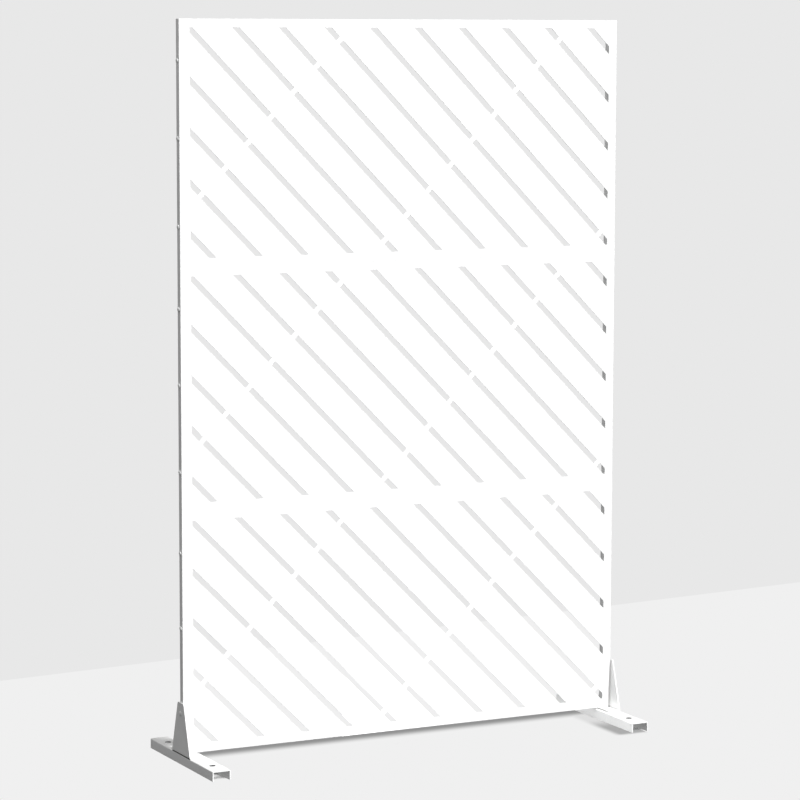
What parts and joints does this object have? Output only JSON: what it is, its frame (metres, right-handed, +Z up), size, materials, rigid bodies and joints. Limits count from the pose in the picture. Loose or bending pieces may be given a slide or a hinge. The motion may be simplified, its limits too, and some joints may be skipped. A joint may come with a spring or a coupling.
{
  "type": "slotted partition screen",
  "caption": "Free-standing sheet-metal partition screen of stacked slotted trays on side posts, carried by two inverted-channel feet with bolted upright plates.",
  "frame": {"origin": "on the floor, midway between the feet and midway through the depth of the trays", "axes": "+Z up, +X to the right seen from the front, -Y is the direction that the slotted faces look"},
  "size_m": [1.2322, 0.395, 1.828],
  "materials": {
    "white_powder_coat": "fine satin powder coat, white",
    "white_bolt_coat": "glossier white coat on button-head bolts",
    "white_plastic": "moulded matt plastic, white",
    "zinc_plated_steel": "bright zinc plate on hidden bolts, nuts and washers"
  },
  "bodies": {
    "root": {"foot_bracket_left": "white_powder_coat", "foot_bracket_right": "white_powder_coat", "foot_channel_left": "white_powder_coat", "foot_channel_right": "white_powder_coat", "foot_clamp_bolt_left": "zinc_plated_steel", "foot_clamp_bolt_right": "zinc_plated_steel", "foot_clamp_nut_left": "zinc_plated_steel", "foot_clamp_nut_right": "zinc_plated_steel", "foot_clamp_washer_left": "zinc_plated_steel", "foot_clamp_washer_right": "zinc_plated_steel", "foot_side_bolt_left": "white_bolt_coat", "foot_side_bolt_right": "white_bolt_coat", "panel_bottom": "white_powder_coat", "panel_middle": "white_powder_coat", "panel_top": "white_powder_coat", "post_cap_left": "white_plastic", "post_cap_right": "white_plastic", "post_left": "white_powder_coat", "post_nuts_left_bottom": "zinc_plated_steel", "post_nuts_left_middle": "zinc_plated_steel", "post_nuts_left_top": "zinc_plated_steel", "post_nuts_right_bottom": "zinc_plated_steel", "post_nuts_right_middle": "zinc_plated_steel", "post_nuts_right_top": "zinc_plated_steel", "post_right": "white_powder_coat", "seam_bolts_lower": "zinc_plated_steel", "seam_bolts_upper": "zinc_plated_steel", "seam_nuts_lower": "zinc_plated_steel", "seam_nuts_upper": "zinc_plated_steel", "side_bolts_left_bottom": "white_bolt_coat", "side_bolts_left_middle": "white_bolt_coat", "side_bolts_left_top": "white_bolt_coat", "side_bolts_right_bottom": "white_bolt_coat", "side_bolts_right_middle": "white_bolt_coat", "side_bolts_right_top": "white_bolt_coat"}
  },
  "joints": []
}
